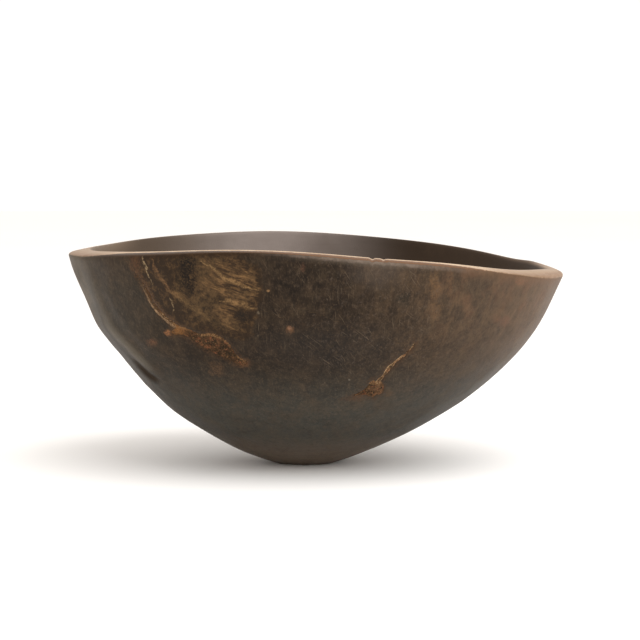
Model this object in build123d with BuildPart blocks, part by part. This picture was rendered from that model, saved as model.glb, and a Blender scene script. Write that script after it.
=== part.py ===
from build123d import *
import os

os.makedirs("parts", exist_ok=True)

# A deep bowl hewn from one block of wood. All sizes are in millimetres, +Z is up, +X runs
# along the bowl's length, and the origin is under its middle, on the surface it stands on.

# Outer wall: it grows from a small off-centre foot, steeply on the left, gently on the right.
FOOT_X = -5.6             # the line that both sides grow from
WALL_TOP = 165.0          # height at which the wall would reach its full size
FOOT_CUT = 4.1            # how much of the round bottom the flat foot cuts away
LEFT_REACH = 171.1        # half length on the left of FOOT_X
LEFT_POWERS = (1.65, 1.64)
LEFT_FLARE = 1.7          # extra reach that comes in near the rim
RIGHT_REACH = 185.3       # half length on the right of FOOT_X
RIGHT_POWERS = (1.98, 1.31)
RIGHT_FLARE = 4.8
FLARE_POWER = 8
DEPTH_RATIO = 0.905       # each level's width across the grain over its length

# Hollow: the same two curves, pulled in by the wall's thickness.
FLOOR_THICKNESS = 16.0
HOLLOW_CUT = 0.8          # a small flat spot at the lowest point of the hollow
LEFT_WALL = 17.0          # wall thickness at the rim
RIGHT_WALL = 13.0
SIDE_WALL = 13.0          # at the front and the back

# Rim: trimmed to a gentle curve, highest in the middle, like the side of a very large barrel.
RIM_APEX = (-27.5, 5.0, 164.6)
RIM_RADIUS_LONG = 673.0   # along the bowl's length
RIM_RADIUS_CROSS = 1628.0
RIM_TURN = -3.4           # degrees, the barrel's own turn about +Z
OUTER_EASE = 3.0          # radius worn on the rim's outer edge
INNER_EASE = 1.6          # radius worn on its inner edge

# Natural flaws in the front wall, each filled with bark and gum, flush with the wood.
POCKET_DEPTH = 6.0        # measured level, inwards from the outer wall
FRONT_REACH = 200.0       # how far forward the pocket outlines are carried

# Left flaw, as (x, z) points: a seam of (x, z, width) runs down into a wedge of bark.
LEFT_SEAM = (
    (-118.5, 138.5, 1.2),
    (-114.5, 133.0, 1.8),
    (-111.0, 126.0, 2.0),
    (-107.5, 119.5, 2.2),
    (-101.5, 113.0, 3.0),
    (-94.5, 107.0, 3.6),
    (-90.0, 103.0, 4.0),
)
LEFT_BARK = (
    (-90.0, 106.0),
    (-83.0, 104.0),
    (-76.0, 101.5),
    (-69.0, 102.5),
    (-61.0, 98.0),
    (-55.5, 92.5),
    (-53.0, 86.5),
    (-45.0, 83.0),
    (-47.0, 79.5),
    (-57.0, 83.0),
    (-68.0, 88.0),
    (-78.0, 93.0),
    (-87.0, 99.0),
    (-98.0, 99.5),
)

# Right flaw: a seam slants down into a small knot of bark with a tail.
RIGHT_SEAM = (
    (66.0, 96.0, 1.2),
    (61.0, 89.5, 1.8),
    (56.0, 85.0, 2.4),
    (50.5, 80.5, 2.8),
    (46.0, 74.5, 2.6),
    (42.0, 69.5, 3.0),
    (40.5, 66.0, 3.0),
)
RIGHT_BARK = (
    (34.5, 68.5),
    (41.0, 70.0),
    (45.5, 65.5),
    (45.0, 60.5),
    (40.0, 56.5),
    (34.0, 58.5),
    (25.5, 58.0),
    (31.5, 62.5),
)

# Worked out from the sizes above.
outer_length = LEFT_REACH + RIGHT_REACH
hollow_length = outer_length - LEFT_WALL - RIGHT_WALL
hollow_ratio = (outer_length * DEPTH_RATIO - 2 * SIDE_WALL) / hollow_length

# Levels at which the two lofts take an oval, closer together where the wall is flattest.
outer_levels = (0, 5, 12, 24, 40, 60, 82, 106, 130, 150, WALL_TOP)
hollow_levels = (FLOOR_THICKNESS, 19, 25, 35, 50, 68, 88, 110, 132, 150, WALL_TOP)


def reach(rise, full, powers, flare):
    """Distance from FOOT_X to one side of the wall; rise runs from 0 to 1 at WALL_TOP."""
    rounded = (1 - (1 - rise) ** powers[0]) ** (1 / powers[1])
    return full * rounded + flare * rise**FLARE_POWER


def oval(height, left, right, ratio, inset=0.0):
    """A level oval that reaches left and right of FOOT_X, less an inset all round."""
    half_length = (left + right) / 2
    with BuildSketch(Plane.XY.offset(height)) as section:
        with Locations((FOOT_X + (right - left) / 2, 0)):
            Ellipse(half_length - inset, half_length * ratio - inset)
    return section.sketch


def wall_section(height, inset=0.0):
    """The outer wall's oval at one height."""
    rise = (height + FOOT_CUT) / (WALL_TOP + FOOT_CUT)
    left = reach(rise, LEFT_REACH, LEFT_POWERS, LEFT_FLARE)
    right = reach(rise, RIGHT_REACH, RIGHT_POWERS, RIGHT_FLARE)
    return oval(height, left, right, DEPTH_RATIO, inset)


def hollow_section(height):
    """The hollow's oval at one height."""
    above_floor = height - FLOOR_THICKNESS + HOLLOW_CUT
    rise = above_floor / (WALL_TOP - FLOOR_THICKNESS + HOLLOW_CUT)
    left = reach(rise, LEFT_REACH - LEFT_WALL, LEFT_POWERS, LEFT_FLARE)
    right = reach(rise, RIGHT_REACH - RIGHT_WALL, RIGHT_POWERS, RIGHT_FLARE)
    return oval(height, left, right, hollow_ratio)


def seam_outline(path):
    """A crack's narrow outline, seen from the front, from its (x, z, width) stations."""
    left_side = [(x - width / 2, z) for x, z, width in path]
    right_side = [(x + width / 2, z) for x, z, width in path]
    with BuildSketch(Plane.XZ) as outline:
        with BuildLine():
            Polyline(*left_side, *reversed(right_side), close=True)
        make_face()
    return outline.sketch


def bark_outline(points):
    """A rounded patch of bark, seen from the front."""
    with BuildSketch(Plane.XZ) as outline:
        with BuildLine():
            Spline(*points, periodic=True)
        make_face()
    return outline.sketch


# The block before it is hollowed, and the skin of it that the flaws lie in.
with BuildPart() as block:
    loft(sections=[wall_section(height) for height in outer_levels])

with BuildPart() as skin:
    add(block.part)
    inner_sections = [wall_section(height, POCKET_DEPTH) for height in outer_levels]
    loft(sections=inner_sections, mode=Mode.SUBTRACT)

# Fillings of the flaws. Each seam stops where it meets its patch of bark.
with BuildPart() as left_bark_pocket:
    extrude(bark_outline(LEFT_BARK), amount=FRONT_REACH)
    add(skin.part, mode=Mode.INTERSECT)

with BuildPart() as left_seam_fill:
    extrude(seam_outline(LEFT_SEAM), amount=FRONT_REACH)
    add(skin.part, mode=Mode.INTERSECT)
    add(left_bark_pocket.part, mode=Mode.SUBTRACT)

with BuildPart() as right_bark_pocket:
    extrude(bark_outline(RIGHT_BARK), amount=FRONT_REACH)
    add(skin.part, mode=Mode.INTERSECT)

with BuildPart() as right_seam_fill:
    extrude(seam_outline(RIGHT_SEAM), amount=FRONT_REACH)
    add(skin.part, mode=Mode.INTERSECT)
    add(right_bark_pocket.part, mode=Mode.SUBTRACT)

# The rim's barrel: an arc swung about a far axis below the bowl, from back to front.
barrel_swing = 8.0        # degrees each way from upright
barrel_half = 230.0       # half the barrel's length
barrel_depth = 190.0      # from its surface down past the foot
barrel_drop = RIM_RADIUS_LONG - (RIM_RADIUS_LONG**2 - barrel_half**2) ** 0.5
barrel_end = RIM_RADIUS_CROSS - barrel_drop
barrel_floor = RIM_RADIUS_CROSS - barrel_depth
barrel_centre = (RIM_APEX[0], RIM_APEX[1], RIM_APEX[2] - RIM_RADIUS_CROSS)
barrel_place = Location(barrel_centre, (0, 0, RIM_TURN))
barrel_plane = Plane(barrel_place * Location((0, 0, 0), (90 + barrel_swing, 0, 0)))
barrel_axis = Axis(barrel_centre, -barrel_plane.x_dir)

with BuildPart() as bowl:
    add(block.part)
    hollow_sections = [hollow_section(height) for height in hollow_levels]
    loft(sections=hollow_sections, mode=Mode.SUBTRACT)
    # Trim the rim to the barrel.
    with BuildSketch(barrel_plane):
        with BuildLine():
            crown = ThreePointArc(
                (-barrel_half, barrel_end), (0, RIM_RADIUS_CROSS), (barrel_half, barrel_end)
            )
            Polyline(
                crown @ 1, (barrel_half, barrel_floor), (-barrel_half, barrel_floor), crown @ 0
            )
        make_face()
    revolve(axis=barrel_axis, revolution_arc=2 * barrel_swing, mode=Mode.INTERSECT)
    # Ease the rim's two edges, the outer one first.
    trimmed_rim = bowl.faces().filter_by(GeomType.TORUS)
    fillet(trimmed_rim.edges().sort_by(SortBy.LENGTH)[-1], radius=OUTER_EASE)
    eased_rim = bowl.faces().filter_by(GeomType.TORUS).sort_by(SortBy.AREA)[-1]
    fillet(eased_rim.edges().sort_by(SortBy.LENGTH)[0], radius=INNER_EASE)
    # Open the pockets that hold the fillings.
    for fill in (left_seam_fill, left_bark_pocket, right_seam_fill, right_bark_pocket):
        add(fill.part, mode=Mode.SUBTRACT)

bowl.part.label = "bowl"
export_step(bowl.part, "parts/bowl.step")

left_seam_fill.part.label = "left_seam_fill"
export_step(left_seam_fill.part, "parts/left_seam_fill.step")

left_bark_pocket.part.label = "left_bark_pocket"
export_step(left_bark_pocket.part, "parts/left_bark_pocket.step")

right_seam_fill.part.label = "right_seam_fill"
export_step(right_seam_fill.part, "parts/right_seam_fill.step")

right_bark_pocket.part.label = "right_bark_pocket"
export_step(right_bark_pocket.part, "parts/right_bark_pocket.step")
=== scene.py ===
import math

import bpy
import numpy as np
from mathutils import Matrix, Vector, noise


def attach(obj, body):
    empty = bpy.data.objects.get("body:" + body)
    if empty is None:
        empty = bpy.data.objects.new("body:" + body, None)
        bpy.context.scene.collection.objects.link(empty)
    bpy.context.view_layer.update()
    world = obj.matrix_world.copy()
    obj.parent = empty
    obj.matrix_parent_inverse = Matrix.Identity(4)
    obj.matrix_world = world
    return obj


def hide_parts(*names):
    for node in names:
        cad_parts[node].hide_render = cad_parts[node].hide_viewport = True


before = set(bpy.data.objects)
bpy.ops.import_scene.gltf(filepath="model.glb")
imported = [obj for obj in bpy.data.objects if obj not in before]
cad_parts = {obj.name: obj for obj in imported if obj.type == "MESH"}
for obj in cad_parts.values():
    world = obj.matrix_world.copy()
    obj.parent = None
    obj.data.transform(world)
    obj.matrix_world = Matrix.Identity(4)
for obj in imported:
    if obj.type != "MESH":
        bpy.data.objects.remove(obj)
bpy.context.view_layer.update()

MM = 0.001

# ---- The bowl's own sizes, in millimetres, as in the CAD part but for the two eases
FOOT_X = -5.6
WALL_TOP = 165.0
FOOT_CUT = 4.1
LEFT_REACH = 171.1
LEFT_POWERS = (1.65, 1.64)
LEFT_FLARE = 1.7
RIGHT_REACH = 185.3
RIGHT_POWERS = (1.98, 1.31)
RIGHT_FLARE = 4.8
FLARE_POWER = 8
DEPTH_RATIO = 0.905
FLOOR_THICKNESS = 16.0
HOLLOW_CUT = 0.8
LEFT_WALL = 17.0
RIGHT_WALL = 13.0
SIDE_WALL = 13.0
RIM_APEX = (-27.5, 5.0, 164.6)
RIM_RADIUS_LONG = 673.0
RIM_RADIUS_CROSS = 1628.0
RIM_TURN = math.radians(-3.4)
OUTER_EASE = 3.3  # how far the rounding runs from the rim's outer corner
INNER_EASE = 1.9

outer_length = LEFT_REACH + RIGHT_REACH
hollow_length = outer_length - LEFT_WALL - RIGHT_WALL
hollow_ratio = (outer_length * DEPTH_RATIO - 2 * SIDE_WALL) / hollow_length

# The mesh
COLUMNS = 440  # around the bowl, closer together at the front
WALL_ROWS = 118  # up the outer wall
HOLLOW_ROWS = 64  # down the hollow
FOOT_ROWS = 6
OUTER_EASE_ROWS = 6
INNER_EASE_ROWS = 4
RIM_ROWS = 7
CHIPS_ANGLE = 4.935  # where round the bowl the rim is chipped
BEVEL_ANGLE = 5.83  # where the rim's inner edge stands higher than its outer one
BEVEL = 1.8  # how much higher
FRONT_ANGLE = 1.47 * math.pi  # where the columns are closest together
RIM_ABOUT = 150.0  # roughly the rim's height
CORNER_ROUNDS = 14  # rounds that settle where a wall meets the rim
FINE_ANGLES = 4001  # angles that the columns are picked from
FINE_HEIGHTS = 600  # heights that the rows are picked from
OUTLINE_STEPS = 60  # points along each edge of a flaw, to measure inside it
LINE_STEPS = 24  # points along a line, to measure from it
PROFILE_STEPS = 200  # points up the profile of an end's flats
FAR = 50.0  # kept in place of a distance where none is wanted

# The rings' stretches in order, after the foot's own, which is 0
WALL, OUTER_CORNER, RIM, INNER_CORNER, HOLLOW = range(1, 6)


def hump(away, width):
    """1 where nothing is away, falling off to either side over a width."""
    return np.exp(-((away / width) ** 2))


def reach(rise, full, powers, flare):
    """Distance from FOOT_X to one side of the wall; rise runs from 0 to 1 at WALL_TOP."""
    rise = np.clip(rise, 0.0, 1.0)
    rounded = (1 - (1 - rise) ** powers[0]) ** (1 / powers[1])
    return full * rounded + flare * rise**FLARE_POWER


def wall_oval(height):
    """Centre, half length and half width of the outer wall's oval at each height."""
    rise = (height + FOOT_CUT) / (WALL_TOP + FOOT_CUT)
    left = reach(rise, LEFT_REACH, LEFT_POWERS, LEFT_FLARE)
    right = reach(rise, RIGHT_REACH, RIGHT_POWERS, RIGHT_FLARE)
    half = (left + right) / 2
    return FOOT_X + (right - left) / 2, half, half * DEPTH_RATIO


def hollow_oval(height):
    """The same for the hollow."""
    above_floor = height - FLOOR_THICKNESS + HOLLOW_CUT
    rise = above_floor / (WALL_TOP - FLOOR_THICKNESS + HOLLOW_CUT)
    left = reach(rise, LEFT_REACH - LEFT_WALL, LEFT_POWERS, LEFT_FLARE)
    right = reach(rise, RIGHT_REACH - RIGHT_WALL, RIGHT_POWERS, RIGHT_FLARE)
    half = (left + right) / 2
    return FOOT_X + (right - left) / 2, half, half * hollow_ratio


def on_oval(oval, height, angle):
    """Points of an oval at these heights and angles about it."""
    centre, half_x, half_y = oval(height)
    x = centre + half_x * np.cos(angle)
    y = half_y * np.sin(angle)
    return np.stack(np.broadcast_arrays(x, y, height), axis=-1)


def rim_height(x, y):
    """Height of the barrel-shaped rim surface over a point."""
    dx, dy = x - RIM_APEX[0], y - RIM_APEX[1]
    along = dx * math.cos(RIM_TURN) + dy * math.sin(RIM_TURN)
    across = dy * math.cos(RIM_TURN) - dx * math.sin(RIM_TURN)
    drop = RIM_RADIUS_LONG - np.sqrt(RIM_RADIUS_LONG**2 - along**2)
    swing = np.sqrt((RIM_RADIUS_CROSS - drop) ** 2 - across**2)
    return RIM_APEX[2] - RIM_RADIUS_CROSS + swing + rim_unevenness(x, y)


def rim_unevenness(x, y):
    """Small hand-cut rises and dips along the rim, and two chips at the front."""
    turn = np.arctan2(y, x)
    waves = 0.35 * np.sin(3 * turn + 0.6) + 0.25 * np.sin(7 * turn + 2.0)
    behind_tip = np.maximum(turn - 0.3, 0) / 0.13
    before_tip = np.maximum(-0.2 - turn, 0) / 0.25
    from_left = math.pi - np.abs(turn)
    rises = (2.2 * np.exp(-(behind_tip**2) - before_tip**2)
             + 1.9 * hump(from_left, 0.28) + 0.9 * hump(turn - 2.2, 0.7)
             - 0.7 * hump(turn + 1.3, 0.25) - 0.5 * hump(turn + 2.3, 0.35))
    chips = hump(x - 36.5, 1.2) + 0.8 * hump(x - 43.7, 1.1)
    return waves + rises - np.where(y < 0, chips, 0.0)


def corner_height(oval, angle):
    """Height at which a wall meets the rim surface, for each angle."""
    height = np.full_like(angle, RIM_ABOUT)
    for _ in range(CORNER_ROUNDS):
        point = on_oval(oval, height, angle)
        height = rim_height(point[..., 0], point[..., 1])
    return height


def turn_from(middle, angle):
    """Angles measured from a middle one, from -pi to pi."""
    return (angle - middle + math.pi) % (2 * math.pi) - math.pi


def smooth(value, start, end):
    """0 before start, 1 after end, and a smooth step between them."""
    share = np.clip((value - start) / (end - start), 0.0, 1.0)
    return share * share * (3 - 2 * share)


# ---- Flaws in the front wall, in (x, z) as seen from the front
# Seams as (x, z, width)
LEFT_SEAM = (
    (-119.5, 140, 0.9), (-114.5, 133, 1.6), (-111, 126, 2), (-107.5, 119.5, 2.2),
    (-101.5, 113, 2.9), (-94.5, 107, 3.6), (-90.5, 103.5, 3.8),
)
RIGHT_SEAM = (
    (66, 96, 1), (61, 89.5, 2.1), (56, 85, 3), (50.5, 80.5, 3.4), (46, 74.5, 3.1),
    (42, 69.5, 3.1), (41, 66.5, 3.1),
)
# Patches of bark as (x, lower edge, upper edge)
LEFT_BARK = (
    (-97, 100.5, 101.5), (-94, 99.5, 104), (-91, 99.5, 106), (-84, 98, 104),
    (-77, 93, 101.5), (-70, 89, 102.5), (-63, 85.5, 100), (-57, 83, 95), (-53, 81, 88),
    (-49, 79.5, 85), (-45, 80.5, 83),
)
RIGHT_BARK = (
    (25, 58, 59), (29, 58.5, 61), (33, 58.5, 64), (36, 57, 68.5), (38.5, 56.5, 69.5),
    (41, 58, 68), (43, 58.5, 69), (45.5, 61.5, 65.5),
)
FILL_DEPTH = 4.0  # how far a filling reaches in behind the wall's surface
RECESS = 1.5  # how far the wood stands back where a filling lies on it
GUM_CRUST = 0.35  # how rough the gum's crust is
BARK_CRUST = 0.6


def spline_stations(stations, steps):
    """Catmull-Rom points through a list of stations."""
    points = np.array(stations, float)
    ends = (2 * points[0] - points[1], 2 * points[-1] - points[-2])
    padded = np.vstack([ends[0], points, ends[1]])
    place = np.linspace(0, len(points) - 1, steps)
    index = np.minimum(place.astype(int), len(points) - 2)
    t = (place - index)[:, None]
    a, b, c, d = (padded[index + k] for k in range(4))
    return 0.5 * (2 * b + (c - a) * t + (2 * a - 5 * b + 4 * c - d) * t**2
                  + (3 * b - a - 3 * c + d) * t**3)


def seam_edges(path, steps):
    """The two edges of a seam, as (x, z) points."""
    line = spline_stations(path, steps)
    run = np.linspace(0, 1, steps)
    ragged = 1 + 0.25 * np.sin(23 * run + 1) + 0.2 * np.sin(51 * run)
    half = line[:, 2] / 2 * ragged
    return (np.stack([line[:, 0] - half, line[:, 1]], 1),
            np.stack([line[:, 0] + half, line[:, 1]], 1))


def bark_edges(path, steps):
    """The lower and upper edges of a patch of bark, as (x, z) points."""
    line = spline_stations(path, steps)
    return line[:, (0, 1)], line[:, (0, 2)]


def inside_distance(x, z, edges):
    """Distance inside the outline that two edges close; negative outside it."""
    outline = np.vstack([edges[0], edges[1][::-1]])
    nearest = np.full(x.shape, 1e9)
    inside = np.zeros(x.shape, bool)
    for (ax, az), (bx, bz) in zip(outline, np.roll(outline, -1, axis=0)):
        ux, uz = bx - ax, bz - az
        length = max(ux * ux + uz * uz, 1e-9)
        share = np.clip(((x - ax) * ux + (z - az) * uz) / length, 0, 1)
        nearest = np.minimum(nearest, np.hypot(x - ax - share * ux, z - az - share * uz))
        if az != bz:
            inside ^= ((az > z) != (bz > z)) & (x < ux * (z - az) / uz + ax)
    return np.where(inside, nearest, -nearest)


# Marks in the wood's colour only. The figured patch and the warm zone round it are outlines,
# each as a lower and an upper edge of (x, z) points.
FIGURE = (
    ((-94, 130), (-88, 119), (-80, 112), (-70, 108), (-58, 104.5), (-51, 103.5),
     (-49, 107), (-53, 112), (-54, 117.5), (-49, 122), (-41, 123)),
    ((-86, 156), (-72, 157), (-60, 156.5), (-48, 149), (-39, 143), (-38, 133),
     (-40, 127), (-39.5, 124.5)),
)
WARM = (
    ((-127, 158), (-118, 136), (-107, 120), (-93, 106), (-48, 97)),
    ((-124, 161), (-70, 163), (-52, 158), (-36, 146), (-33, 130), (-44, 98)),
)
# Streaks: (x, z) points, display colour, half width, strength
STREAKS = {
    "pale_streak": (((-114.5, 155), (-112, 145), (-108, 131)), (138, 117, 87), 0.7, 0.75),
    "brown_streak": (((-107.5, 152), (-104.5, 142), (-95, 130), (-88, 125)),
                     (108, 79, 51), 1.7, 0.55),
    "short_streak": (((-97, 127), (-95, 121), (-95, 114)), (136, 114, 84), 0.5, 0.65),
    "upper_stroke": (((-77, 151), (-66, 146), (-57, 139), (-37, 131)),
                     (140, 110, 72), 1.9, 0.45),
    "lower_stroke": (((-64, 125), (-51, 123), (-38, 119)), (134, 104, 68), 1.8, 0.4),
    "figure_edge": (((-99, 132), (-79, 119), (-68, 109)), (104, 80, 51), 2.6, 0.45),
}
# Blots on the front wall: (x, z), half width, half height, display colour, strength
BLOTS = (
    ((-84, 144), 7, 15, (22, 15, 9), 1),
    ((-119.5, 149), 4, 8, (80, 54, 35), 0.5),
    ((-47, 114.5), 5, 4, (28, 22, 17), 0.75),
    ((-31, 132), 1.2, 0.9, (150, 114, 76), 0.6),
    ((-37.5, 117), 1.1, 1.1, (112, 98, 80), 0.35),
    ((-38, 101.5), 1.1, 1.1, (106, 92, 76), 0.3),
    ((-8.5, 147), 1.6, 2.6, (84, 56, 41), 0.35),
    ((-17, 106), 2.8, 2.5, (108, 76, 52), 0.5),
    ((-17, 107), 1.4, 1.3, (140, 104, 80), 0.6),
    ((-110, 93.5), 3.8, 3.2, (104, 70, 48), 0.5),
    ((-98.5, 101), 2.4, 2.2, (122, 82, 52), 0.75),
    ((-91, 103), 4, 2.4, (112, 78, 48), 0.4),
    ((-48, 82), 5, 3.4, (88, 62, 42), 0.6),
    ((-67, 76.5), 6, 5, (82, 61, 42), 0.55),
    ((-146, 127), 5, 6, (44, 36, 27), 0.5),
    ((22, 70.5), 0.7, 0.7, (176, 166, 150), 0.35),
    ((57, 126), 5, 5, (34, 30, 24), 0.6),
    ((77.5, 134), 3.4, 13, (110, 82, 54), 0.3),
    ((78.5, 116), 3.4, 6, (112, 84, 58), 0.25),
    ((87.5, 136), 2.4, 9, (108, 78, 54), 0.25),
    ((99, 122), 2.4, 8, (104, 76, 54), 0.2),
    ((138, 135), 5, 3, (120, 80, 58), 0.35),
    ((127, 107), 5, 4, (108, 72, 54), 0.3),
    ((48.5, 59.5), 3, 3, (84, 64, 46), 0.4),
    ((26, 57), 9, 2.6, (80, 58, 42), 0.45),
)

# Fillings: what gives the two edges, the stations, points along, points across
FILLS = {
    "left_seam_fill": (seam_edges, LEFT_SEAM, 90, 7),
    "left_bark_pocket": (bark_edges, LEFT_BARK, 110, 30),
    "right_seam_fill": (seam_edges, RIGHT_SEAM, 80, 7),
    "right_bark_pocket": (bark_edges, RIGHT_BARK, 50, 26),
}


# ---- Carving: how far the worked surface stands off the plain form, in millimetres
def sample(points, scale, offset, function):
    """A noise function of the points, stretched by scale, as an array."""
    flat = np.asarray(points, float).reshape(-1, 3) / np.array(scale) + np.array(offset)
    values = np.fromiter((function(Vector(p)) for p in flat), float, len(flat))
    return values.reshape(np.shape(points)[:-1])


def scoops(points, scale, offset):
    """Shallow scoops with low ridges between them, from 0 in each scoop to about 1."""
    def edge(place):
        near = noise.voronoi(place)[0]
        return min(near[0], 0.9) ** 2
    return sample(points, scale, offset, edge)


def line_distance(x, z, path):
    """Signed distance to a line of (x, z) points, and how far along it, from 0 to 1."""
    line = spline_stations(path, LINE_STEPS)
    signed = np.full(x.shape, 1e9)
    along = np.zeros(x.shape)
    for step in range(len(line) - 1):
        (ax, az), (bx, bz) = line[step], line[step + 1]
        ux, uz = bx - ax, bz - az
        share = np.clip(((x - ax) * ux + (z - az) * uz) / (ux * ux + uz * uz), 0, 1)
        dx, dz = x - ax - share * ux, z - az - share * uz
        distance = np.hypot(dx, dz)
        closer = distance < np.abs(signed)
        side = np.where(ux * dz - uz * dx > 0, 1.0, -1.0)
        signed = np.where(closer, distance * side, signed)
        along = np.where(closer, (step + share) / (len(line) - 1), along)
    return signed, along


def streak_distance(x, z, path):
    """Signed distance to a streak that thins out at its two ends."""
    away, along = line_distance(x, z, path)
    side = np.sign(away)
    ends = smooth(np.minimum(along, 1 - along), 0.0, 0.2)
    return np.where(ends > 0, away + 2.0 * (1 - ends) * side, FAR * side)


# Flats hewn into the two ends of the wall, as (height, how far the wall stands out)
LEFT_FLATS = ((0, 0), (20, -0.2), (30, 0.5), (40, 2.2), (54, 1.0), (75, -0.5), (86, 0.5),
              (98, 1.4), (108, 0.2), (120, -0.7), (136, -0.5), (150, 0), (170, 0))
RIGHT_FLATS = ((0, 0), (20, 0.6), (40, 1.3), (70, 1.5), (90, 0.9), (106, -0.4),
               (118, -1.4), (130, -1.4), (142, -0.3), (170, -0.3))


def end_flats(points):
    """Level shift of the wall to its flats, fading out towards the front and the back."""
    x, y, z = points[..., 0], points[..., 1], points[..., 2]
    turn = np.arctan2(y / DEPTH_RATIO, x)
    stand = np.zeros(x.shape)
    for profile, weight in ((LEFT_FLATS, -np.cos(turn)), (RIGHT_FLATS, np.cos(turn))):
        heights, stands = spline_stations(profile, PROFILE_STEPS).T
        stand += np.interp(z, heights, stands) * smooth(weight, 0.45, 0.85)
    outward = np.stack([np.cos(turn), np.sin(turn), np.zeros(x.shape)], -1)
    return stand[..., None] * outward


# The ridge between two tool cuts on the left, as a line of (x, z)
RIDGE = ((-161, 149), (-156.5, 138), (-147.5, 115), (-139, 100.5),
         (-127.5, 88.5), (-118, 78), (-107.5, 69), (-98, 61))


def ridge(x, z):
    """Height of the ridge and depth of the cut beside its lower half, from 0 to 1."""
    away, along = line_distance(x, z, RIDGE)
    ends = smooth(along, 0.0, 0.3) * smooth(1 - along, 0.0, 0.35)
    lower = smooth(along, 0.58, 0.78) * smooth(1 - along, 0.04, 0.18)
    crest = ends * hump(away, 4.5) * (0.6 + 0.4 * smooth(along, 0.3, 0.5))
    beside = away + 6.5 - 2.5 * smooth(along, 0.75, 1.0)
    return crest, lower * hump(beside, 3.0)


def wall_carving(points):
    """The outer wall: soft tool facets, a long ridge low on the left, and slight sags."""
    x, y, z = points[..., 0], points[..., 1], points[..., 2]
    facets = scoops(points, (34, 34, 46), (0.3, 1.7, 0.2)) - 0.3
    sag = sample(points, (75, 75, 60), (3, 1, 2), noise.noise)
    lift = (0.8 + 0.7 * smooth(-x, 60, 120)) * facets + 0.7 * sag
    front = smooth(-y, 10, 45)
    crest, groove = ridge(x, z)
    lift += front * (1.5 * crest - 0.8 * groove)
    # it fades into the flat foot, which stays level, and into the trimmed rim
    return lift * smooth(z, 1.0, 14.0)


def hollow_carving(points):
    """The hollow: scraped smooth near the rim, with faint gouge scoops lower down."""
    z = points[..., 2]
    depth = smooth(RIM_ABOUT - z, 5, 110)
    gouges = scoops(points, (17, 17, 26), (5.1, 0.4, 2.2)) - 0.3
    sag = sample(points, 60, (9, 4, 6), noise.noise)
    return gouges * (0.15 + 0.85 * depth) + 0.5 * sag


def recess_depth(points, distances):
    """How far the front wall stands back behind the fillings."""
    front = points[..., 1] < 0
    depth = np.zeros(front.shape)
    for distance in distances:
        depth = np.maximum(depth, RECESS * smooth(distance, -0.2, 1.1))
    return np.where(front, depth, 0.0)


# ---- The bowl's mesh: rings of points from the middle of the foot, up, over the rim and down
def spread_angles():
    """Angles round the bowl, about twice as close together at the front."""
    fine = np.linspace(0, 2 * math.pi, FINE_ANGLES)
    density = 1 + 1.4 * np.exp(-((turn_from(FRONT_ANGLE, fine) / 0.95) ** 4))
    density += 2.5 * hump(fine - CHIPS_ANGLE, 0.04)
    total = np.concatenate([[0], np.cumsum((density[1:] + density[:-1]) / 2)])
    places = np.linspace(0, total[-1], COLUMNS + 1)[:-1]
    return np.interp(places, total, fine)


def even_heights(oval, low, high, rows):
    """Shares of the climb from low to high that are evenly spaced along the wall."""
    heights = np.linspace(low, high, FINE_HEIGHTS)
    profile = on_oval(oval, heights, np.full(FINE_HEIGHTS, 1.5 * math.pi))
    steps = np.linalg.norm(np.diff(profile, axis=0), axis=1)
    run = np.concatenate([[0], np.cumsum(steps)])
    return np.interp(np.linspace(0, run[-1], rows), run, heights - low) / (high - low)


def eased_corner(corner, before, after, run, rows):
    """A corner rounded over a run along two directions, as rows of points."""
    t = np.linspace(0, 1, rows)[:, None, None]
    return corner + before * run[:, None] * (1 - t) ** 2 + after * run[:, None] * t**2


def direction(start, end):
    """Unit directions from one set of points to another."""
    away = end - start
    return away / np.linalg.norm(away, axis=-1, keepdims=True)


def rim_rings(angle):
    """Rings over the rim, and the heights at which the wall and the hollow meet them."""
    outer_top = corner_height(wall_oval, angle)
    bevel = BEVEL * hump(turn_from(BEVEL_ANGLE, angle), 0.3)
    inner_top = corner_height(hollow_oval, angle) + bevel
    outer_corner = on_oval(wall_oval, outer_top, angle)
    inner_corner = on_oval(hollow_oval, inner_top, angle)
    down_wall = direction(outer_corner, on_oval(wall_oval, outer_top - 3, angle))
    down_hollow = direction(inner_corner, on_oval(hollow_oval, inner_top - 3, angle))
    across = direction(outer_corner, inner_corner)
    # hand wear varies along both edges, and rounds the inner one more at the right end
    wear = 1 + 0.25 * np.sin(5 * angle + 1.0) + 0.15 * np.sin(11 * angle)
    outer_ease = OUTER_EASE * wear
    right_end = hump(np.sin(angle / 2), 0.25)
    inner_ease = INNER_EASE * (2 - wear) + 3.0 * right_end
    outer = eased_corner(outer_corner, down_wall, across, outer_ease, OUTER_EASE_ROWS)
    inner = eased_corner(inner_corner, -across, down_hollow, inner_ease, INNER_EASE_ROWS)
    shares = np.linspace(0, 1, RIM_ROWS + 2)[1:-1, None, None]
    rim = outer[-1] + shares * (inner[0] - outer[-1])
    rim[..., 2] = rim_height(rim[..., 0], rim[..., 1]) + shares[..., 0] * bevel
    wall_end = outer_top + outer_ease * down_wall[:, 2]
    hollow_end = inner_top + inner_ease * down_hollow[:, 2]
    return (outer, rim, inner), wall_end, hollow_end


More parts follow.
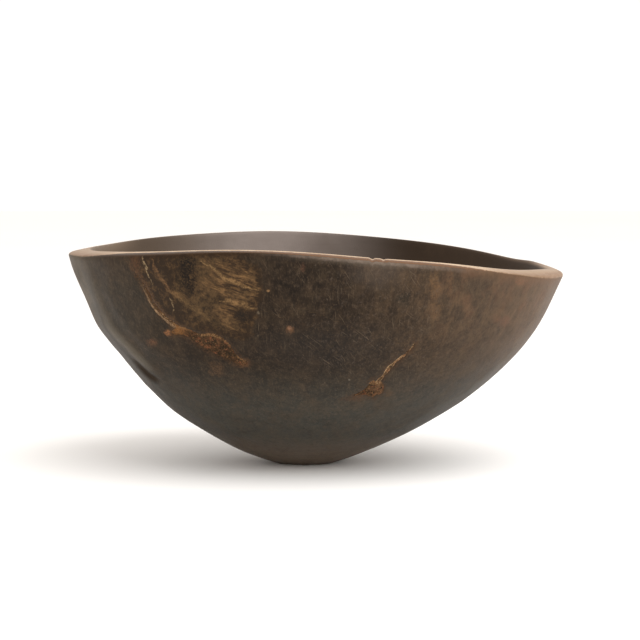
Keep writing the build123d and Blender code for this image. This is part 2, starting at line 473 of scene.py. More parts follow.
def bowl_rings():
    """Rings of points, and for each ring which stretch it belongs to."""
    angle = spread_angles()
    (outer, rim, inner), wall_end, hollow_end = rim_rings(angle)
    foot_edge = on_oval(wall_oval, np.zeros(COLUMNS), angle)
    foot_middle = foot_edge.mean(axis=0)
    foot_shares = np.linspace(0.06, 1, FOOT_ROWS)[:-1, None, None]
    foot = foot_middle + foot_shares * (foot_edge - foot_middle)
    climb = even_heights(wall_oval, 0.0, RIM_ABOUT, WALL_ROWS)[:, None]
    wall = on_oval(wall_oval, climb[:-1] * wall_end, angle)
    low = FLOOR_THICKNESS
    fall = even_heights(hollow_oval, low, RIM_ABOUT, HOLLOW_ROWS)[::-1, None]
    hollow = on_oval(hollow_oval, low + fall[1:] * (hollow_end - low), angle)
    sections = (foot, wall, outer, rim, inner, hollow)
    stretches = np.repeat(range(len(sections)), [len(section) for section in sections])
    return np.concatenate(sections), stretches


def ring_normals(rings):
    """Outward normals of the ringed surface."""
    around = np.roll(rings, -1, axis=1) - np.roll(rings, 1, axis=1)
    onward = np.gradient(rings, axis=0)
    normal = np.cross(around, onward)
    return normal / np.maximum(np.linalg.norm(normal, axis=-1, keepdims=True), 1e-9)


def ring_faces(rows, columns):
    """Quads between rings, and fans to one middle point at each end."""
    row, column = np.meshgrid(np.arange(rows - 1), np.arange(columns), indexing="ij")
    following = (column + 1) % columns
    quads = np.stack([row * columns + column, row * columns + following,
                      (row + 1) * columns + following, (row + 1) * columns + column], -1)
    faces = quads.reshape(-1, 4).tolist()
    first, last, base = rows * columns, rows * columns + 1, (rows - 1) * columns
    for column in range(columns):
        following = (column + 1) % columns
        faces.append([first, following, column])
        faces.append([last, base + column, base + following])
    return faces


def add_mesh(name, points, faces):
    """A smooth-shaded object from points in millimetres."""
    mesh = bpy.data.meshes.new(name)
    mesh.from_pydata((np.asarray(points) * MM).tolist(), [], faces)
    mesh.validate()
    mesh.polygons.foreach_set("use_smooth", [True] * len(mesh.polygons))
    thing = bpy.data.objects.new(name, mesh)
    bpy.context.scene.collection.objects.link(thing)
    return thing


def add_values(thing, name, values):
    """Stores one number for each point of a mesh."""
    layer = thing.data.attributes.new(name, "FLOAT", "POINT")
    layer.data.foreach_set("value", np.asarray(values, np.float32).ravel())


def rim_run(stretches):
    """Place across the rim: 0 at the outer corner, 1 at the inner, -1 and 2 beyond."""
    return np.concatenate([
        np.full(np.sum(stretches <= WALL), -1.0),
        np.linspace(-1, 0, OUTER_EASE_ROWS),
        np.linspace(0, 1, RIM_ROWS + 2)[1:-1],
        np.linspace(1, 2, INNER_EASE_ROWS),
        np.full(np.sum(stretches == HOLLOW), 2.0),
    ])


def carve(rings, stretches, distances):
    """The rings with their carving, flats and recesses."""
    x, y, z = rings[..., 0], rings[..., 1], rings[..., 2]
    on_wall = (stretches == WALL)[:, None]
    on_hollow = (stretches == HOLLOW)[:, None]
    near_rim = smooth(rim_height(x, y) - z, 1.5, 9.0)
    lift = np.where(on_wall, wall_carving(rings) * near_rim, 0.0)
    lift = np.where(on_hollow, hollow_carving(rings) * near_rim, lift)
    lift = lift - np.where(on_wall, recess_depth(rings, distances), 0.0)
    carved = rings + ring_normals(rings) * lift[..., None]
    outer_share = 1 - np.clip(rim_run(stretches), 0, 1)
    return carved + end_flats(rings) * outer_share[:, None, None]


def keep_places(bowl, rings, stretches, distances):
    """Stores what the wood's colours need to know at each point of the bowl."""
    x, y, z = rings[..., 0], rings[..., 1], rings[..., 2]
    front = (y < 0) & (stretches <= OUTER_CORNER)[:, None]

    def keep(name, values, at_foot, at_bottom):
        """Stores values for the rings, and for the middles of the foot and the hollow."""
        grid = np.broadcast_to(values, x.shape)
        add_values(bowl, name, np.concatenate([grid.ravel(), [at_foot, at_bottom]]))

    def keep_front(name, values, elsewhere):
        keep(name, np.where(front, values, elsewhere), elsewhere, elsewhere)

    on_rim = (stretches == RIM)[:, None]
    keep("hollow", (stretches >= INNER_CORNER)[:, None], 0.0, 1.0)
    keep("below_rim", np.where(on_rim, 0.0, rim_height(x, y) - z), 150.0, 140.0)
    keep("across_rim", rim_run(stretches)[:, None], -1.0, 2.0)
    keep_front("flaw", np.max(distances, axis=0), -FAR)
    for name, outline in (("figure", FIGURE), ("warm", WARM)):
        edges = [np.array(edge) for edge in outline]
        keep_front(name, inside_distance(x, z, edges), -FAR)
    for name, (path, *_) in STREAKS.items():
        keep_front(name, streak_distance(x, z, path), FAR)
    for name, values in zip(("ridge", "groove"), ridge(x, z)):
        keep_front(name, values, 0.0)
    away, along = line_distance(x, z, [station[:2] for station in LEFT_SEAM])
    keep_front("seam_away", away, FAR)
    keep_front("seam_along", along, 0.0)


def make_bowl():
    """The carved block: walls, rim, foot and hollow as one closed mesh."""
    rings, stretches = bowl_rings()
    distances = [inside_distance(rings[..., 0], rings[..., 2], edges(path, OUTLINE_STEPS))
                 for edges, path, _, _ in FILLS.values()]
    carved = carve(rings, stretches, distances)
    middles = np.array([carved[0].mean(axis=0), carved[-1].mean(axis=0)])
    points = np.vstack([carved.reshape(-1, 3), middles])
    bowl = add_mesh("carved_bowl", points, ring_faces(len(rings), COLUMNS))
    keep_places(bowl, rings, stretches, distances)
    return bowl


# ---- The fillings: closed slabs that follow the carved wall and carry their own crust
def front_wall_point(x, z):
    """Points and outward normals of the plain front wall at (x, z)."""
    def surface(px, pz):
        centre, half_x, half_y = wall_oval(pz)
        share = np.clip((px - centre) / half_x, -0.999, 0.999)
        return -half_y * np.sqrt(1 - share**2)
    y = surface(x, z)
    step = 0.5
    slope_x = (surface(x + step, z) - surface(x - step, z)) / (2 * step)
    slope_z = (surface(x, z + step) - surface(x, z - step)) / (2 * step)
    normal = np.stack([slope_x, -np.ones_like(slope_x), slope_z], -1)
    normal /= np.linalg.norm(normal, axis=-1, keepdims=True)
    return np.stack([x, y, z], -1), normal


def front_place(x, z):
    """One point of the plain front wall."""
    return front_wall_point(np.array([x]), np.array([z]))[0][0]


def slab_faces(steps, across):
    """Quads of a slab's front, its back, and the edge all round it."""
    count = steps * across
    row, column = np.meshgrid(np.arange(steps - 1), np.arange(across - 1), indexing="ij")
    corner = (row * across + column).ravel()
    quads = np.stack([corner, corner + across, corner + across + 1, corner + 1], -1)
    faces = quads.tolist() + (quads[:, ::-1] + count).tolist()
    grid = np.arange(count).reshape(steps, across)
    rim = np.concatenate([grid[0], grid[1:, -1], grid[-1, -2::-1], grid[-2:0:-1, 0]]).tolist()
    for first, second in zip(rim, rim[1:] + rim[:1]):
        faces.append([first, second, second + count, first + count])
    return faces


def make_fill(name, edges, path, steps, across):
    """A slab between two edges, flush with the carved wall, with a broken crust on top."""
    is_seam = edges is seam_edges
    crust_height = GUM_CRUST if is_seam else BARK_CRUST
    low, high = edges(path, steps)
    share = np.linspace(0, 1, across)[None, :]
    flat = low[:, None] + (high - low)[:, None] * share[..., None]
    points, normals = front_wall_point(flat[..., 0], flat[..., 1])
    wall = points + normals * wall_carving(points)[..., None] + end_flats(points)
    # the crust is broken, stands low on the whole, and turns down at its edges
    grains = sample(points, 1.5, 2, noise.noise)
    lumps = sample(points, 4.5, (7, 1, 3), noise.noise)
    rows = share * np.ones((steps, 1))
    run = np.linspace(0, 1, steps)[:, None]
    round_off = (smooth(np.minimum(rows, 1 - rows), 0.0, 0.16)
                 * smooth(np.minimum(run, 1 - run), 0.0, 0.03))
    height = crust_height * (0.8 * grains + 0.6 * lumps) - 0.3
    height = height * round_off - 0.55 * (1 - round_off)
    top = wall + normals * height[..., None]
    bottom = wall - normals * FILL_DEPTH
    both = np.vstack([top.reshape(-1, 3), bottom.reshape(-1, 3)])
    piece = add_mesh(name + "_crust", both, slab_faces(steps, across))
    behind = np.ones(steps * across)
    add_values(piece, "crust", np.concatenate([height.ravel(), -behind]))
    # from the left edge of a seam, and from the upper edge of a patch of bark
    from_edge = rows if is_seam else 1 - rows
    add_values(piece, "edge", np.concatenate([from_edge.ravel(), behind]))
    return piece


# ---- Materials
def colour(red, green, blue):
    """A linear colour from 0 to 255 display values."""
    def linear(value):
        value /= 255
        return value / 12.92 if value <= 0.04045 else ((value + 0.055) / 1.055) ** 2.4
    return (linear(red), linear(green), linear(blue), 1.0)


class Graph:
    """A material's node tree, built a node at a time."""

    def __init__(self, name):
        self.material = bpy.data.materials.new(name)
        self.material.use_nodes = True
        self.tree = self.material.node_tree
        self.tree.nodes.clear()
        self.position = self.node("TexCoord").outputs["Object"]
        # the position's three coordinates, in millimetres
        split = self.node("SeparateXYZ", {"Vector": self.position})
        self.x, self.y, self.z = [self.times(split.outputs[axis], 1000.0) for axis in "XYZ"]

    def fill_socket(self, socket, value):
        """Links a socket to another node's, or sets it to a constant."""
        if isinstance(value, bpy.types.NodeSocket):
            self.tree.links.new(value, socket)
        else:
            socket.default_value = value

    def node(self, kind, inputs=(), **settings):
        made = self.tree.nodes.new("ShaderNode" + kind)
        for key, value in settings.items():
            setattr(made, key, value)
        for key, value in dict(inputs).items():
            self.fill_socket(made.inputs[key], value)
        return made

    def value(self, name):
        """One of the numbers stored for each point of the mesh."""
        return self.node("Attribute", attribute_name=name).outputs["Fac"]

    def math(self, operation, first, second=0.0):
        made = self.node("Math", {0: first, 1: second}, operation=operation)
        return made.outputs[0]

    def plus(self, first, second):
        return self.math("ADD", first, second)

    def minus(self, first, second):
        return self.math("SUBTRACT", first, second)

    def times(self, product, *factors):
        for factor in factors:
            product = self.math("MULTIPLY", product, factor)
        return product

    def step(self, value, start, end):
        """A smooth step of a value, from 0 at start to 1 at end."""
        made = self.node("MapRange", {"Value": value, "From Min": start, "From Max": end},
                         interpolation_type="SMOOTHSTEP")
        return made.outputs["Result"]

    def fall(self, value, start, end):
        """The same, from 1 down to 0."""
        return self.minus(1.0, self.step(value, start, end))

    def distance(self, place, size):
        """Distance from a place in millimetres, as a share of a size for each axis."""
        away = self.node("VectorMath", {0: self.position, 1: [value * MM for value in place]},
                         operation="SUBTRACT").outputs["Vector"]
        away = self.node("VectorMath", {0: away, 1: [1000 / value for value in size]},
                         operation="MULTIPLY").outputs["Vector"]
        return self.node("VectorMath", {0: away}, operation="LENGTH").outputs["Value"]

    def noise(self, scale, place=(0, 0, 0), detail=3.0, roughness=0.5, distortion=0.0,
              turn=0.0):
        """Noise turned about Y, with one grain size in millimetres or one for each axis."""
        turned = self.node("VectorRotate", {"Vector": self.position, "Angle": math.radians(turn)},
                           rotation_type="Y_AXIS")
        sizes = [1000 / size for size in np.broadcast_to(scale, 3)]
        sized = self.node("Mapping", {"Vector": turned.outputs["Vector"], "Location": place,
                                      "Scale": sizes})
        inputs = {"Vector": sized.outputs["Vector"], "Scale": 1.0, "Detail": detail,
                  "Roughness": roughness, "Distortion": distortion}
        return self.node("TexNoise", inputs).outputs["Fac"]

    def mix(self, share, first, second, strength=1.0):
        """A colour laid over another. Each is a socket or three display values."""
        if strength < 1.0:
            share = self.times(share, strength)
        made = self.node("Mix", {0: share}, data_type="RGBA", clamp_factor=True)
        for socket, value in ((made.inputs[6], first), (made.inputs[7], second)):
            self.fill_socket(socket, colour(*value) if isinstance(value, tuple) else value)
        return made.outputs[2]

    def bump(self, height, distance, strength, below=None):
        inputs = {"Height": height, "Distance": distance, "Strength": strength}
        if below is not None:
            inputs["Normal"] = below
        return self.node("Bump", inputs).outputs["Normal"]

    def between(self, value, low, high, **settings):
        """A value from 0 to 1, brought between low and high."""
        inputs = {"Value": value, "To Min": low, "To Max": high}
        return self.node("MapRange", inputs, **settings).outputs["Result"]

    def finish(self, base, roughness, normal, **constants):
        inputs = {"Base Color": base, "Roughness": roughness, "Normal": normal}
        shader = self.node("BsdfPrincipled", inputs)
        for key, value in constants.items():
            shader.inputs[key.replace("_", " ")].default_value = value
        self.node("OutputMaterial", {"Surface": shader.outputs["BSDF"]})
        return self.material


def wall_tones(g, broad, cloudy):
    """Near black in the middle, greyer on the left with a painted sheen at its far edge, browner
    on the right, greyer low down as a painted reflection of the floor, and paler at the foot as
    painted light from the floor.
    """
    wood = g.mix(g.step(broad, 0.35, 0.65), (24, 17, 11), (34, 25, 17))
    wood = g.mix(g.fall(g.x, -150, -70), wood, (43, 36, 26))
    # painted sheen: lighter along the far left edge
    wood = g.mix(g.fall(g.x, -172, -140), wood, (86, 75, 57))
    wood = g.mix(g.step(g.x, 5, 140), wood, (66, 53, 41))
    wood = g.mix(g.step(g.x, 110, 175), wood, (88, 68, 50))
    # painted reflection of the floor: greyer low down
    wood = g.mix(g.fall(g.z, 42, 90), wood, (56, 55, 50))
    # painted light from the floor: paler at the foot
    wood = g.mix(g.fall(g.z, 0, 30), wood, (122, 106, 91), 0.8)
    wood = g.mix(g.step(cloudy, 0.42, 0.75), wood, (72, 57, 42), 0.35)
    # the left end is mottled, and browner under its rim
    left_end = g.fall(g.x, -135, -95)
    mottle = g.step(g.noise((15, 42, 19), (3, 5, 7), 5, 0.6, turn=20), 0.44, 0.58)
    wood = g.mix(g.times(mottle, left_end), wood, (36, 29, 20), 0.5)
    under_rim = g.times(g.fall(g.value("below_rim"), 4, 26), left_end)
    return g.mix(under_rim, wood, (46, 33, 23), 0.4)


def wall_patches(g, wood, cloudy):
    """Blotches, grit, soft zones and mottling in the outer wall."""
    blotches = g.noise((9, 9, 11), (6, 1, 9), 6, 0.7)
    wood = g.mix(g.step(blotches, 0.45, 0.7), wood, (78, 64, 47), 0.22)
    wood = g.mix(g.fall(blotches, 0.3, 0.5), wood, (22, 17, 12), 0.28)
    grit = g.noise((2.6, 2.6, 3.6), (8, 8, 2), 4, 0.75)
    wood = g.mix(g.step(grit, 0.5, 0.68), wood, (104, 86, 68), 0.15)
    wood = g.mix(g.fall(grit, 0.34, 0.5), wood, (20, 15, 11), 0.25)
    # a soft grey patch high up, right of the middle
    grey = g.distance(front_place(42.0, 144.0), (20.0, 40.0, 11.0))
    grey = g.plus(grey, g.times(g.minus(cloudy, 0.5), 1.2))
    wood = g.mix(g.fall(grey, 0.1, 1.5), wood, (78, 68, 60), 0.4)
    # a cool dark zone under the middle, and reddish patches on the right
    cool = g.distance(front_place(6.0, 93.0), (62.0, 60.0, 20.0))
    wood = g.mix(g.fall(cool, 0.2, 1.3), wood, (30, 30, 30), 0.45)
    red = g.step(g.noise((13, 13, 15), (4, 4, 8), 5, 0.65), 0.46, 0.66)
    red = g.times(red, g.step(g.x, 50, 110), g.step(g.z, 80, 120))
    wood = g.mix(red, wood, (104, 72, 52), 0.28)
    # tan mottling that hangs from the rim, mostly on the right
    hanging = g.step(g.noise((6, 6, 20), (2, 7, 1), 5, 0.7), 0.42, 0.72)
    high_right = g.times(g.step(g.x, 10, 90), g.step(g.z, 60, 120))
    hanging = g.times(hanging, g.plus(0.25, high_right))
    return g.mix(hanging, wood, (108, 84, 60), 0.27)


def wall_grain(g, wood, fibres):
    """Grain along the block, upright fibres and light scratches."""
    # the grain shows as fine mottling on the block's two ends
    grain = g.noise((110, 3.2, 3.2), (5, 2, 2), 5, 0.65, 0.4)
    round_back = g.plus(0.1, g.step(g.y, -75, 0))
    dark = g.times(g.step(grain, 0.5, 0.66), round_back)
    wood = g.mix(dark, wood, (20, 14, 9), 0.4)
    pale = g.times(g.fall(grain, 0.34, 0.5), round_back)
    wood = g.mix(pale, wood, (92, 72, 53), 0.3)
    wood = g.mix(g.step(fibres, 0.5, 0.74), wood, (98, 80, 62), 0.28)
    # scratches in three directions, mostly in the middle
    from_middle = g.math("ABSOLUTE", g.minus(g.x, 15))
    middle = g.plus(0.25, g.times(g.fall(from_middle, 40, 85), g.step(g.z, 40, 90)))
    for turn, place in ((0, 1), (32, 2), (52, 3)):
        lines = g.noise((0.5, 9, 17), (place, 2 * place, place), 1, 0.5, turn=turn)
        patches = g.step(g.noise(30, (place, place, 5), 2), 0.45, 0.6)
        scratches = g.times(g.step(lines, 0.67, 0.76), middle, patches)
        wood = g.mix(scratches, wood, (128, 110, 90), 0.2)
    return wood


def figured(g, wood, cloudy, fine, wobble):
    """The figured patch, in warmer wood that also lies under the streaks."""
    # the figure's strokes run down to the right, more steeply on its left
    level = g.noise((14, 14, 2.2), (4, 4, 4), 5, 0.75, 0.9, turn=-16)
    steep = g.noise((13, 13, 2.4), (5, 2, 4), 5, 0.75, 0.9, turn=-36)
    to_right = g.step(g.x, -84, -52)
    strokes = g.plus(g.times(level, to_right), g.times(steep, g.minus(1.0, to_right)))
    wander = g.times(g.minus(cloudy, 0.5), 9.0)
    jagged = g.times(g.minus(strokes, 0.5), 14.0)
    figure = g.plus(g.plus(g.value("figure"), wander), jagged)
    # the warmer wood, with reddish mottling
    warm = g.step(g.plus(g.value("warm"), g.times(wobble, 8.0)), -1.0, 2.5)
    wood = g.mix(warm, wood, (40, 28, 17), 0.85)
    mottle = g.noise((4, 4, 6), (8, 2, 3), 6, 0.75, turn=-30)
    wood = g.mix(g.times(g.step(mottle, 0.46, 0.66), warm), wood, (86, 64, 40), 0.6)
    # the figure is dull brown low and left, and golden in patches high and right
    patches = g.plus(g.noise((13, 13, 11), (8, 2, 3), 4, 0.65), g.times(to_right, 0.16))
    patches = g.plus(patches, g.times(g.step(g.z, 104, 132), 0.12))
    dull = g.mix(g.step(mottle, 0.36, 0.64), (40, 30, 19), (80, 61, 39))
    golden = g.mix(g.step(strokes, 0.4, 0.64), (46, 33, 21), (116, 87, 55))
    golden = g.mix(g.step(mottle, 0.5, 0.7), golden, (128, 96, 64), 0.45)
    golden = g.mix(g.step(fine, 0.45, 0.7), golden, (48, 35, 23), 0.5)
    golden = g.mix(g.step(level, 0.58, 0.7), golden, (138, 106, 71), 0.5)
    golden = g.mix(g.step(patches, 0.56, 0.84), dull, golden)
    return g.mix(g.step(figure, -1.5, 4.0), wood, golden, 0.85)


def streaked(g, wood, jitter, wobble, speckle):
    """The streaks, and the ridge with the tool cut beside it; the ridge's crest carries a painted
    highlight.
    """
    for name, (_, tone, half_width, strength) in STREAKS.items():
        away = g.math("ABSOLUTE", g.plus(g.value(name), g.times(wobble, 7.0)))
        away = g.plus(away, g.times(jitter, 4.0))
        share = g.times(g.fall(away, 0.1, half_width), g.plus(0.3, speckle))
        wood = g.mix(share, wood, tone, strength)
    # painted highlight along the ridge's crest
    crest = g.plus(g.value("ridge"), g.times(jitter, 0.3))
    wood = g.mix(g.step(crest, 0.3, 1.0), wood, (106, 97, 82), 0.4)
    groove = g.plus(g.value("groove"), g.times(wobble, 0.5))
    return g.mix(g.step(groove, 0.2, 0.9), wood, (38, 26, 13), 0.8)


def round_flaws(g, wood, jitter, wobble, speckle):
    """Crumbled wood and a thin pale line beside the left seam, and stain round the fillings."""
    away = g.plus(g.value("seam_away"), g.times(jitter, 2.0))
    crumbled = g.times(g.step(away, 0.0, 1.0), g.fall(away, 2.0, 4.5), speckle)
    wood = g.mix(crumbled, wood, (96, 68, 43), 0.65)
    along = g.value("seam_along")
    pale_line = g.fall(g.math("ABSOLUTE", g.plus(away, 1.4)), 0.2, 0.8)
    pale_line = g.times(pale_line, g.step(along, 0.05, 0.4), g.fall(along, 0.8, 0.99),
                        g.plus(0.35, speckle))
    wood = g.mix(pale_line, wood, (146, 118, 88), 0.8)
    stain = g.plus(g.value("flaw"), g.times(wobble, 9.0))
    stain = g.times(g.step(stain, -3.0, 0.5), g.plus(0.2, speckle))
    return g.mix(stain, wood, (72, 51, 34), 0.55)


def blotted(g, wood, jitter, wobble, speckle):
    """The blots and small spots."""
    for place, half_width, half_height, tone, strength in BLOTS:
        size = (half_width, 2 * half_width + 4, half_height)
        away = g.distance(front_place(*place), size)
        away = g.plus(g.plus(away, g.times(jitter, 1.8)), g.times(wobble, 1.6))
        share = g.times(g.fall(away, 0.3, 1.4), g.plus(0.45, speckle))
        wood = g.mix(share, wood, tone, strength)
    return wood


def marked(g, wood, cloudy, fine):
    """Everything in the front wall's colour that has a place of its own."""
    jitter = g.minus(fine, 0.5)
    wobble = g.minus(g.noise(7, (1, 4, 2), 3), 0.5)
    speckle = g.step(g.noise(1.2, (9, 4, 1), 3, 0.7), 0.4, 0.6)
    wood = figured(g, wood, cloudy, fine, wobble)
    for layer in (streaked, round_flaws, blotted):
        wood = layer(g, wood, jitter, wobble, speckle)
    return wood


def shoulder(g, wood):
    """The wall just under the rim: warm on the right, with a painted sheen on its rounding in the
    middle, dark on the left.
    """
    below = g.value("below_rim")
    warm = g.times(g.fall(below, 0.5, 11.0), g.step(g.x, 70, 165))
    wood = g.mix(warm, wood, (98, 72, 52), 0.65)
    front = g.fall(g.y, -90, -30)
    # painted sheen on the rounding just under the rim, in the middle of the front
    sheen_under_rim = g.times(g.step(g.x, -45, 35), g.fall(g.x, 40, 95), front)
    wood = g.mix(g.times(sheen_under_rim, g.fall(below, 0.5, 6.0)), wood, (94, 84, 73), 0.6)
    dark = g.times(g.step(g.x, -135, -105), g.fall(g.x, -60, -20), front)
    return g.mix(g.times(dark, g.fall(below, 1.0, 4.5)), wood, (40, 26, 14), 0.7)


def worn_tan(g, across, worn):
    """The worn top's colour: creamy at its inner edge, more orange towards the outer one."""
    ends = g.math("MAXIMUM", g.step(g.x, 90, 150), g.fall(g.x, -160, -115))
    cloudy = g.step(g.noise(9, (2, 9, 4), 5, 0.6), 0.35, 0.7)
    tan = g.mix(cloudy, (184, 161, 136), (160, 134, 108))
    tan = g.mix(ends, tan, (136, 114, 94), 0.85)
    tan = g.mix(g.times(g.fall(across, -0.1, 0.6), ends), tan, (112, 84, 62), 0.6)
    tan = g.mix(g.times(worn, ends), tan, (150, 130, 112), 0.4)
    tan = g.mix(g.times(g.step(across, 0.3, 0.9), ends), tan, (152, 133, 115), 0.5)
    # at the back the worn line lies along the outer half, and is darker near the right end
    behind = g.times(g.step(g.y, 0, 90), g.step(across, 0.3, 0.9))
    tan = g.mix(behind, tan, (84, 66, 51))
    unworn = g.times(g.step(g.x, 70, 130), g.fall(g.x, 152, 166), g.step(g.y, 8, 26))
    return g.mix(unworn, tan, (70, 54, 41), 0.75)


def worn_rim(g, wood, fine):
    """A pale worn rim: full width at its two ends, a line along half its width elsewhere."""
    across = g.plus(g.value("across_rim"), g.times(g.minus(fine, 0.5), 0.6))
    worn = g.step(g.noise(5, (7, 2, 5), 5, 0.7), 0.42, 0.62)
    wood = shoulder(g, wood)
    # a brown band on the outer corner, and a painted highlight on its rounding
    band = g.mix(g.step(g.x, -70, 0), (60, 43, 29), (98, 70, 49))
    wood = g.mix(g.step(across, -0.55, -0.3), wood, band)
    corner_highlight = g.fall(g.math("ABSOLUTE", g.plus(across, 0.66)), 0.05, 0.34)
    corner_highlight = g.times(corner_highlight, g.step(g.x, -50, 20), g.step(worn, -0.6, 0.8))
    wood = g.mix(g.times(corner_highlight, g.fall(g.x, 60, 115)), wood, (102, 89, 79), 0.85)
    # where across the rim the worn top starts
    start = g.minus(0.52, g.times(g.step(g.x, 60, 130), 0.95))
    start = g.minus(start, g.times(g.step(g.x, 130, 170), 0.4))
    start = g.minus(start, g.fall(g.x, -160, -120))
    share = g.step(g.minus(across, start), -0.1, 0.12)
    tan = worn_tan(g, across, worn)
    return g.mix(share, wood, tan), tan


def hollow_wood(g, tan, broad, cloudy):
    """Smooth wood with grain under a pale grey painted sheen that fades to the left, with painted
    shade high on the right and towards the right, and stained at the bottom.
    """
    # painted sheen: a pale grey tone over the inner wall, darker on the left where the painted
    # sheen fades
    wood = g.mix(g.step(broad, 0.3, 0.7), (108, 98, 92), (128, 118, 112))
    wood = g.mix(g.fall(g.x, -130, -45), wood, (76, 64, 53))
    wood = g.mix(g.fall(g.z, 30, 110), wood, (74, 60, 48), 0.8)
    # painted shade high on the right of the inner wall
    shaded = g.times(g.step(g.x, -40, 80), g.step(g.z, 70, 125))
    wood = g.mix(shaded, wood, (45, 34, 24))
    # more painted shade towards the right
    wood = g.mix(g.step(g.x, 40, 150), wood, (62, 49, 38), 0.6)
    low = g.plus(0.12, g.fall(g.z, 70, 130))
    grain = g.step(g.noise((170, 2.6, 2.6), (2, 5, 8), 5, 0.65, 0.3), 0.48, 0.7)
    wood = g.mix(g.times(grain, low), wood, (48, 36, 26), 0.45)
    wood = g.mix(g.times(g.step(cloudy, 0.5, 0.7), low), wood, (112, 92, 72), 0.35)
    left_end = g.times(g.fall(g.x, -152, -128), g.fall(g.value("below_rim"), 1, 14))
    wood = g.mix(left_end, wood, (112, 96, 80), 0.8)
    # the rim's tan runs on over its inner edge
    mouth = g.minus(g.value("across_rim"), g.times(g.step(g.x, 120, 150), 0.4))
    return g.mix(g.fall(mouth, 1.1, 1.6), wood, tan)


def carved_wood():
    """Dark, oiled, hand-worn wood, pale where the rim is worn and smoother in the hollow."""
    g = Graph("carved_wood")
    broad = g.noise((80, 80, 60), (0, 0, 0), 4, 0.6)
    cloudy = g.noise((22, 22, 30), (3, 1, 5), 5, 0.65)
    fibres = g.noise((1.0, 1.0, 26), (1, 2, 0), 4, 0.7)
    fine = g.noise(2.2, (6, 3, 1), 4, 0.7)
    outside = wall_tones(g, broad, cloudy)
    outside = wall_patches(g, outside, cloudy)
    outside = wall_grain(g, outside, fibres)
    outside = marked(g, outside, cloudy, fine)
    outside, tan = worn_rim(g, outside, fine)
    base = g.mix(g.value("hollow"), outside, hollow_wood(g, tan, broad, cloudy))
    # the tool cut is duller than the worn wood round it
    dull = g.math("MAXIMUM", cloudy, g.times(g.value("groove"), 3.0))
    rough = g.between(dull, 0.4, 0.58, clamp=False)
    pores = g.noise((0.9, 0.9, 3.0), (5, 5, 5), 3, 0.6)
    normal = g.bump(pores, 0.0002, 0.25, g.bump(fibres, 0.0003, 0.3))
    return g.finish(base, rough, normal, Specular_IOR_Level=0.09)


def crust(name, pale, deep, spots):
    """Broken bark or dried gum, paler on its high spots."""
    g = Graph(name)
    fine = g.noise(1.0, (1, 1, 1), 4, 0.7)
    lumps = g.noise(3.5, (4, 2, 6), 4, 0.7)
    base = g.mix(g.step(lumps, 0.4, 0.62), deep, spots)
    patches = g.noise(6, (3, 8, 1), 4, 0.65)
    base = g.mix(g.step(patches, 0.47, 0.57), base, (36, 28, 18), 0.75)
    red = g.noise(3, (6, 2, 9), 3, 0.6)
    base = g.mix(g.step(red, 0.56, 0.63), base, (124, 74, 50), 0.5)
    # the left bark is darker at its left end, but for the knob where the seam meets it
    base = g.mix(g.times(g.fall(g.x, -88, -74), g.step(g.z, 85, 90)), base, deep, 0.4)
    knob = g.distance(front_place(-91.0, 103.0), (5.0, 14.0, 3.5))
    knob = g.plus(knob, g.times(g.minus(fine, 0.5), 8.0))
    base = g.mix(g.fall(knob, 0.4, 1.3), base, (132, 90, 52), 0.75)
    # the right bark is paler on its right
    pale_side = g.times(g.step(g.x, 30, 42), g.step(lumps, 0.4, 0.56))
    base = g.mix(pale_side, base, (116, 86, 62), 0.45)
    base = g.mix(g.fall(fine, 0.36, 0.52), base, deep, 0.5)
    # the left seam is dull and dark in its upper half
    upper = g.times(g.step(g.z, 110, 122), 0.75)
    base = g.mix(upper, base, deep)
    high = g.plus(0.3, g.step(g.value("crust"), -0.6, 0.2))
    grains = g.times(g.step(fine, 0.5, 0.66), high, g.minus(1.0, upper))
    base = g.mix(grains, base, pale, 0.8)
    broken = g.step(g.noise(9, (2, 1, 1), 2), 0.4, 0.6)
    edge = g.times(g.fall(g.value("edge"), 0.1, 0.3), g.step(fine, 0.4, 0.55), broken)
    base = g.mix(edge, base, pale)
    rough = g.between(fine, 0.7, 0.95)
    return g.finish(base, rough, g.bump(fine, 0.0007, 0.8), Specular_IOR_Level=0.1)


# ---- Putting it together
bowl = make_bowl()
bowl.data.materials.append(carved_wood())
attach(bowl, "root")
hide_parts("bowl")

gum = crust("seam_gum", (172, 142, 106), (66, 47, 31), (122, 90, 58))
bark = crust("bark", (120, 90, 60), (46, 34, 22), (84, 57, 37))
for name, (edges, path, steps, across) in FILLS.items():
    is_seam = edges is seam_edges
    piece = make_fill(name, edges, path, steps, across)
    piece.data.materials.append(gum if is_seam else bark)
    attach(piece, "root")
    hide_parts(name)


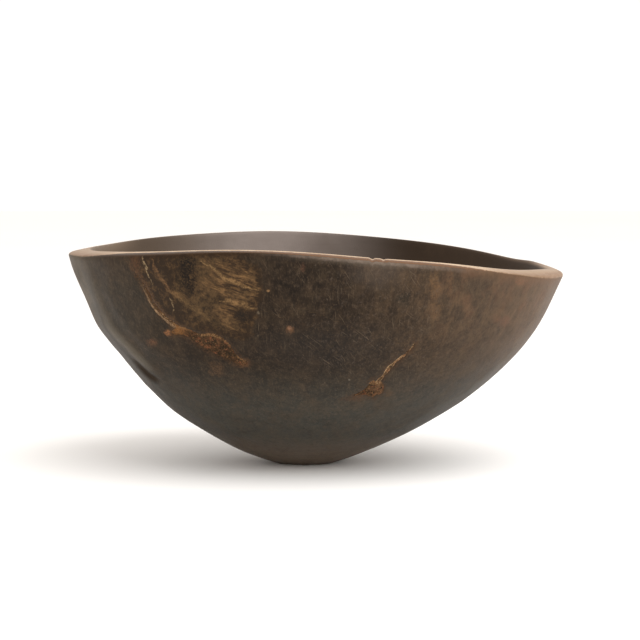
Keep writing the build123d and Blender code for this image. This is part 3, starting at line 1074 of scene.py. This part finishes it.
# ---- Floor, light and camera
FLOOR_RADIUS = 6.0  # metres, as are the places and the light's size
SKY_COLOUR = (1.0, 0.95, 0.905, 1)
SKY_STRENGTH = 1.12
KEY_PLACE = (0.9, -0.8, 1.6)
KEY_AIM = (0, 0, 0.1)
KEY_SIZE = 2.6
KEY_WATTS = 46
CAMERA_PLACE = (0.0026, -1.703, 0.230)
CAMERA_DIP = 4.32  # degrees below level
LENS = 135.0  # millimetres, as is the sensor
SENSOR = 36.0


def make_floor():
    """A wide pale surface under the bowl."""
    bpy.ops.mesh.primitive_circle_add(vertices=96, radius=FLOOR_RADIUS, fill_type="NGON")
    floor = bpy.context.object
    floor.name = "floor"
    g = Graph("pale_floor")
    tone = g.noise(900, detail=1)
    base = g.mix(tone, (250, 250, 249), (246, 246, 245))
    floor.data.materials.append(g.finish(base, 0.8, g.bump(tone, 0.001, 0.0)))


def make_sky():
    """A pale studio all round."""
    world = bpy.data.worlds.new("studio")
    bpy.context.scene.world = world
    world.use_nodes = True
    background = world.node_tree.nodes["Background"]
    background.inputs["Color"].default_value = SKY_COLOUR
    background.inputs["Strength"].default_value = SKY_STRENGTH


def make_key_light():
    """One large soft light, high on the right and in front."""
    lamp = bpy.data.lights.new("key", "AREA")
    lamp.size = KEY_SIZE
    lamp.energy = KEY_WATTS
    thing = bpy.data.objects.new("key", lamp)
    bpy.context.scene.collection.objects.link(thing)
    thing.location = KEY_PLACE
    aim = Vector(KEY_AIM) - Vector(KEY_PLACE)
    thing.rotation_euler = aim.to_track_quat("-Z", "Y").to_euler()


def make_camera():
    """A long lens, a little above the rim and looking slightly down."""
    camera = bpy.data.objects.new("camera", bpy.data.cameras.new("camera"))
    bpy.context.scene.collection.objects.link(camera)
    camera.data.lens = LENS
    camera.data.sensor_width = SENSOR
    camera.location = CAMERA_PLACE
    camera.rotation_euler = (math.radians(90 - CAMERA_DIP), 0, 0)
    bpy.context.scene.camera = camera


make_floor()
make_sky()
make_camera()
make_key_light()
bpy.context.scene.view_settings.view_transform = "Standard"
